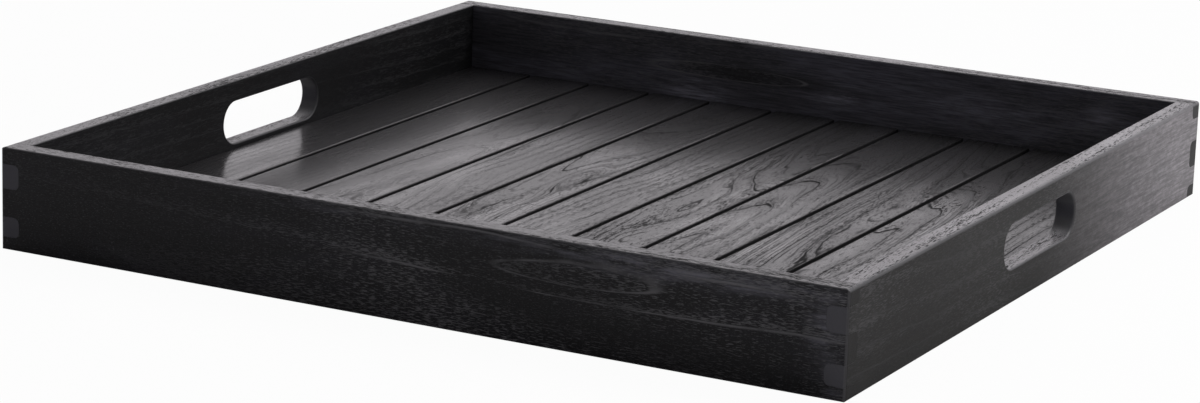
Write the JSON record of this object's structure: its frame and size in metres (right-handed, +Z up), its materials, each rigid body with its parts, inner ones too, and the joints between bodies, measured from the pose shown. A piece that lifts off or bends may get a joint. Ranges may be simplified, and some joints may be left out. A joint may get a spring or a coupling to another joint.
{
  "type": "slatted tea tray",
  "caption": "Square black-stained wooden tray with a slatted floor, finger-jointed corners and a hand hole in each of two opposite sides.",
  "frame": {"origin": "on the table, under the middle of the tray", "axes": "+X along the front board towards the right handle board, +Y from the front board to the back board, +Z up"},
  "size_m": [0.6, 0.6, 0.068],
  "materials": {
    "board_wood": "black stain, open grain, satin",
    "slat_wood": "black stain, open grain, worn satin",
    "under_wood": "black stain, matt",
    "screw_steel": "dark zinc"
  },
  "bodies": {
    "root": {"front_board": "board_wood", "back_board": "board_wood", "left_handle_board": "board_wood", "right_handle_board": "board_wood", "slat_01": "slat_wood", "slat_02": "slat_wood", "slat_03": "slat_wood", "slat_04": "slat_wood", "slat_05": "slat_wood", "slat_06": "slat_wood", "slat_07": "slat_wood", "slat_08": "slat_wood", "slat_09": "slat_wood", "slat_10": "slat_wood", "slat_11": "slat_wood", "front_cleat": "under_wood", "back_cleat": "under_wood", "front_batten": "under_wood", "back_batten": "under_wood", "floor_screws": "screw_steel", "cleat_screws": "screw_steel"}
  },
  "joints": []
}
